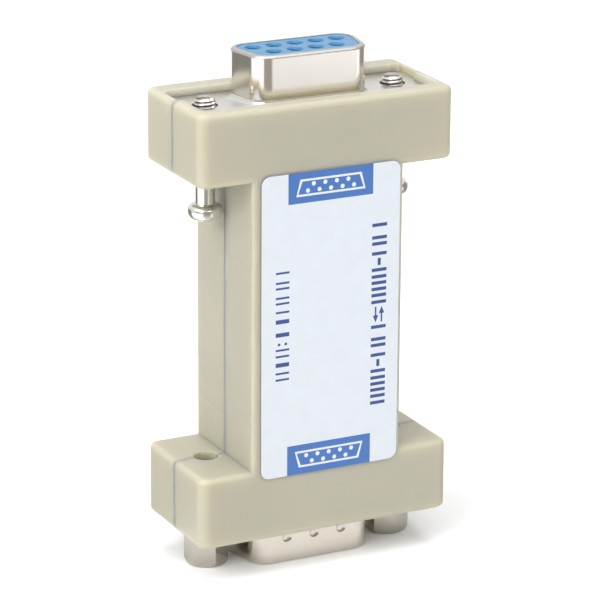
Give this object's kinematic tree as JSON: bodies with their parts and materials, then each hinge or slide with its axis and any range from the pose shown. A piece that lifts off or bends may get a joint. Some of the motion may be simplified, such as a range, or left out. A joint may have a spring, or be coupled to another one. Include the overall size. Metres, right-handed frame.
{
  "type": "serial isolator",
  "caption": "Moulded two-part adapter with a D-shaped socket on top and a plug below; captive screws hang beside its narrow waist.",
  "frame": {"origin": "centre of the plane that the plug rim and jack screws stand on", "axes": "+X along the width, +Y from the labelled face to the back, +Z from the plug to the socket"},
  "size_m": [0.0336, 0.0158, 0.0638],
  "materials": {
    "case_plastic": "fine satin moulding",
    "label_sheet": "smooth printed sheet",
    "plated_shell": "bright tin plating",
    "plated_screw": "bright nickel plating",
    "plated_jack": "nickel plating, turned and milled",
    "insulator": "smooth moulding",
    "contact": "gold flash over brass",
    "spring_steel": "spring steel",
    "board": "solder mask over glass laminate",
    "chip": "moulded epoxy",
    "ferrite": "ground ferrite",
    "winding": "enamelled copper wire",
    "can": "drawn can with a sleeve mark",
    "ceramic_part": "fired ceramic with tinned ends",
    "diode_body": "moulded epoxy"
  },
  "bodies": {
    "housing": {"front_cover": "case_plastic", "rear_cover": "case_plastic", "label": "label_sheet", "socket_front_shell": "plated_shell", "socket_rear_shell": "plated_shell", "socket_front_insulator": "insulator", "socket_rear_insulator": "insulator", "socket_contacts": "contact", "plug_front_shell": "plated_shell", "plug_rear_shell": "plated_shell", "plug_front_insulator": "insulator", "plug_rear_insulator": "insulator", "plug_pins": "contact", "left_jack_screw": "plated_jack", "right_jack_screw": "plated_jack", "jack_nuts": "plated_jack", "circuit_board": "board", "driver_chips": "chip", "optocouplers": "chip", "transformer_core": "ferrite", "transformer_winding": "winding", "electrolytic_capacitors": "can", "ceramic_capacitors": "ceramic_part", "resistors": "ceramic_part", "diodes": "diode_body"},
    "left_clip": {"left_screw_clip": "spring_steel"},
    "left_screw": {"left_captive_screw": "plated_screw"},
    "right_clip": {"right_screw_clip": "spring_steel"},
    "right_screw": {"right_captive_screw": "plated_screw"}
  },
  "joints": [
    {"name": "left_screw_slide", "type": "slide", "parent": "housing", "child": "left_clip", "axis": [0, 0, 1], "range_m": [0, 0.00385]},
    {"name": "left_screw_turn", "type": "hinge", "parent": "left_clip", "child": "left_screw", "pos_m": [-0.01249, 0, 0.0515], "axis": [0, 0, 1], "continuous": true},
    {"name": "right_screw_slide", "type": "slide", "parent": "housing", "child": "right_clip", "axis": [0, 0, 1], "range_m": [0, 0.00385]},
    {"name": "right_screw_turn", "type": "hinge", "parent": "right_clip", "child": "right_screw", "pos_m": [0.01249, 0, 0.0515], "axis": [0, 0, 1], "continuous": true}
  ]
}
